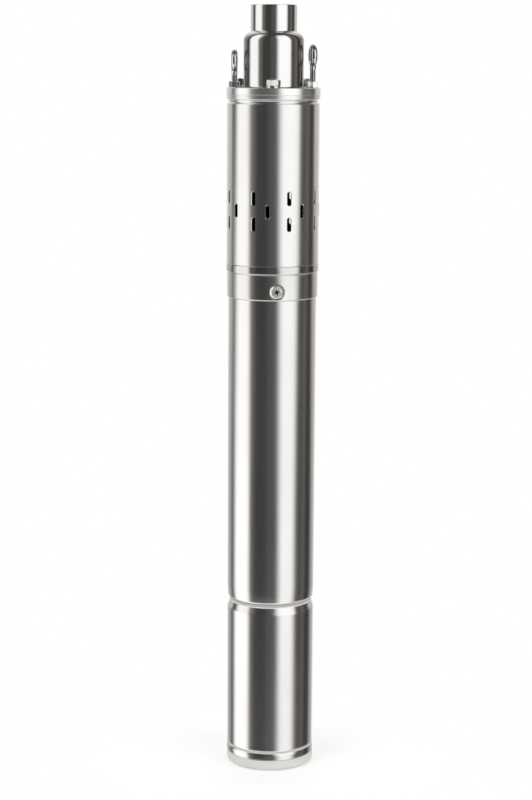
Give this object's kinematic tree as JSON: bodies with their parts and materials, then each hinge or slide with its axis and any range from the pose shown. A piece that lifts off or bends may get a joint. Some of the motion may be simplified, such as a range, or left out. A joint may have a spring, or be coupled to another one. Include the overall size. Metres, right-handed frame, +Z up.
{
  "type": "borehole submersible pump",
  "caption": "Slim upright stainless well pump: threaded outlet and lifting eyes on top, slotted intake casing, screw pump, electric motor and capacitor housing below.",
  "frame": {"origin": "centre of the flat underside of the foot, on the pump's axis", "axes": "+Z up along the pump's axis towards the outlet, -Y towards the front with the oil plug, +X to the right"},
  "size_m": [0.0772, 0.0772, 0.636],
  "materials": {
    "polished_stainless": "polished",
    "turned_stainless": "fine turned",
    "bright_fasteners": "bright",
    "gland_steel": "satin",
    "black_rubber": "matte",
    "stator_rubber": "satin",
    "matte_foot": "matte",
    "bearing_steel": "ground",
    "cage_brass": "satin",
    "core_steel": "laminated",
    "copper_windings": "varnished",
    "cast_aluminium": "as cast",
    "shaft_steel": "ground",
    "flex_steel": "ground",
    "screw_chrome": "plated",
    "seal_ceramic": "lapped",
    "seal_carbon": "lapped",
    "capacitor_case": "moulded",
    "terminal_brass": "tinned"
  },
  "bodies": {
    "pump_body": {"outlet_head": "polished_stainless", "head_flange": "polished_stainless", "head_o_ring": "black_rubber", "strainer_casing": "polished_stainless", "stator_tube": "turned_stainless", "rubber_stator": "stator_rubber", "connecting_body": "turned_stainless", "oil_plug": "bright_fasteners", "oil_plug_washer": "bright_fasteners", "tie_studs": "bright_fasteners", "tie_nuts": "bright_fasteners", "tie_washers": "bright_fasteners", "left_eye_bolt": "bright_fasteners", "right_eye_bolt": "bright_fasteners", "eye_bolt_nuts": "bright_fasteners", "cable_gland": "gland_steel", "gland_nut": "gland_steel", "cable_seal": "black_rubber", "lead_bush": "black_rubber", "motor_barrel": "polished_stainless", "barrel_o_ring": "black_rubber", "bearing_plate": "turned_stainless", "upper_outer_race": "bearing_steel", "stator_core": "core_steel", "stator_windings": "copper_windings", "lower_bracket": "turned_stainless", "bracket_o_rings": "black_rubber", "lower_outer_race": "bearing_steel", "wave_washer": "bright_fasteners", "lower_shell": "polished_stainless", "capacitor": "capacitor_case", "capacitor_terminals": "terminal_brass", "bottom_cover": "polished_stainless", "cover_o_ring": "black_rubber", "foot_pad": "matte_foot", "foot_screws": "bright_fasteners", "seal_seat": "seal_ceramic"},
    "motor_rotor": {"motor_shaft": "shaft_steel", "rotor_core": "core_steel", "rotor_end_rings": "cast_aluminium", "upper_inner_race": "bearing_steel", "lower_inner_race": "bearing_steel", "seal_ring": "seal_carbon", "seal_spring": "shaft_steel", "seal_collar": "shaft_steel", "sand_slinger": "black_rubber", "shaft_coupling": "shaft_steel", "coupling_screws": "bright_fasteners"},
    "flex_drive": {"flexible_shaft": "flex_steel"},
    "pump_screw": {"screw_rotor": "screw_chrome", "screw_socket": "shaft_steel"},
    "upper_ball_set": {"upper_balls": "bearing_steel", "upper_cage": "cage_brass"},
    "lower_ball_set": {"lower_balls": "bearing_steel", "lower_cage": "cage_brass"}
  },
  "joints": [
    {"name": "motor_spin", "type": "hinge", "parent": "pump_body", "child": "motor_rotor", "pos_m": [0, 0, 0.27], "axis": [0, 0, 1], "continuous": true},
    {"name": "shaft_whirl", "type": "hinge", "parent": "pump_body", "child": "flex_drive", "pos_m": [0, 0, 0.445], "axis": [0, 0, 1], "continuous": true},
    {"name": "screw_spin", "type": "hinge", "parent": "flex_drive", "child": "pump_screw", "pos_m": [0.0026, 0, 0.48], "axis": [0, 0, 1], "continuous": true},
    {"name": "upper_balls_orbit", "type": "hinge", "parent": "pump_body", "child": "upper_ball_set", "pos_m": [0, 0, 0.394], "axis": [0, 0, 1], "continuous": true},
    {"name": "lower_balls_orbit", "type": "hinge", "parent": "pump_body", "child": "lower_ball_set", "pos_m": [0, 0, 0.1555], "axis": [0, 0, 1], "continuous": true}
  ],
  "couplings": [
    {"joint": "shaft_whirl", "follows": "motor_spin", "ratio": -1},
    {"joint": "screw_spin", "follows": "motor_spin", "ratio": 2},
    {"joint": "upper_balls_orbit", "follows": "motor_spin", "ratio": 0.38},
    {"joint": "lower_balls_orbit", "follows": "motor_spin", "ratio": 0.38}
  ]
}
